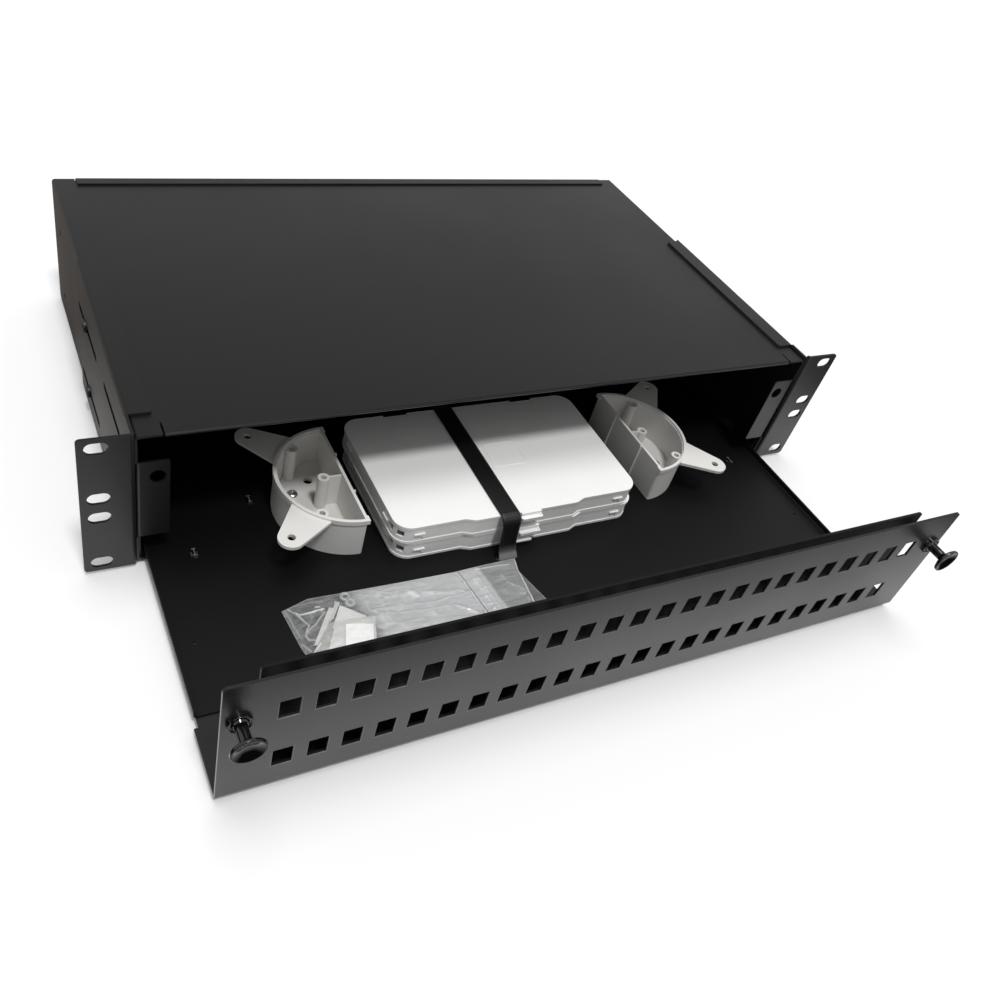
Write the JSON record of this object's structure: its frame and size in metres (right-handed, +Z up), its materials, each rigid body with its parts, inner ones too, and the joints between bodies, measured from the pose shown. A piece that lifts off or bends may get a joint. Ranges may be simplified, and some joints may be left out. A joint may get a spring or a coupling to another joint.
{
  "type": "sliding fibre patch drawer",
  "caption": "Rack-mounted sliding fibre patch drawer in black folded steel, drawn out, with simplex ports, fibre spools and stacked splice cassettes.",
  "frame": {"origin": "centre of the rack slots' pattern, on the front face of the ears", "axes": "+X to the right seen from the front, +Y to the back of the rack, +Z up"},
  "size_m": [0.4826, 0.4131, 0.0902],
  "materials": {
    "black_powder_coat": "fine matt powder coat on folded steel",
    "black_zinc_screw": "black zinc plated",
    "zinc_steel": "zinc plated",
    "aluminium_rivet": "plain",
    "black_rubber": "moulded",
    "grey_abs": "moulded, satin",
    "white_abs": "moulded, satin",
    "splice_comb": "moulded",
    "black_strap": "flat strap",
    "black_nylon": "moulded, glossy",
    "clear_film": "clear polyethylene film"
  },
  "bodies": {
    "case": {"housing_shell": "black_powder_coat", "housing_pan": "black_powder_coat", "guide_rail_left": "black_powder_coat", "guide_rail_right": "black_powder_coat", "bracket_screws": "black_zinc_screw", "clinch_nuts": "zinc_steel", "cable_grommets": "black_rubber"},
    "drawer": {"drawer_front": "black_powder_coat", "blanking_plate": "black_powder_coat", "blanking_rivets": "aluminium_rivet", "drawer_tray": "black_powder_coat", "glide_buttons": "black_nylon", "spool_left": "grey_abs", "spool_right": "grey_abs", "spool_screws": "zinc_steel", "cassette_base_lower": "white_abs", "cassette_lid_lower": "white_abs", "cassette_base_upper": "white_abs", "cassette_lid_upper": "white_abs", "splice_holder_lower": "splice_comb", "splice_holder_upper": "splice_comb", "cassette_strap": "black_strap", "latch_grommet_left": "black_nylon", "latch_grommet_right": "black_nylon", "accessory_bag": "clear_film"},
    "bracket_left": {"rack_bracket_left": "black_powder_coat"},
    "bracket_right": {"rack_bracket_right": "black_powder_coat"},
    "latch_left": {"latch_plunger_left": "black_nylon"},
    "latch_right": {"latch_plunger_right": "black_nylon"}
  },
  "joints": [
    {"name": "drawer_slide", "type": "slide", "parent": "case", "child": "drawer", "axis": [0, 1, 0], "range_m": [0, 0.1425]},
    {"name": "bracket_left_slide", "type": "slide", "parent": "case", "child": "bracket_left", "axis": [0, 1, 0], "range_m": [-0.02, 0.03]},
    {"name": "bracket_right_slide", "type": "slide", "parent": "case", "child": "bracket_right", "axis": [0, 1, 0], "range_m": [-0.02, 0.03]},
    {"name": "latch_left_push", "type": "slide", "parent": "drawer", "child": "latch_left", "axis": [0, 1, 0], "range_m": [0, 0.006]},
    {"name": "latch_right_push", "type": "slide", "parent": "drawer", "child": "latch_right", "axis": [0, 1, 0], "range_m": [0, 0.006]}
  ]
}
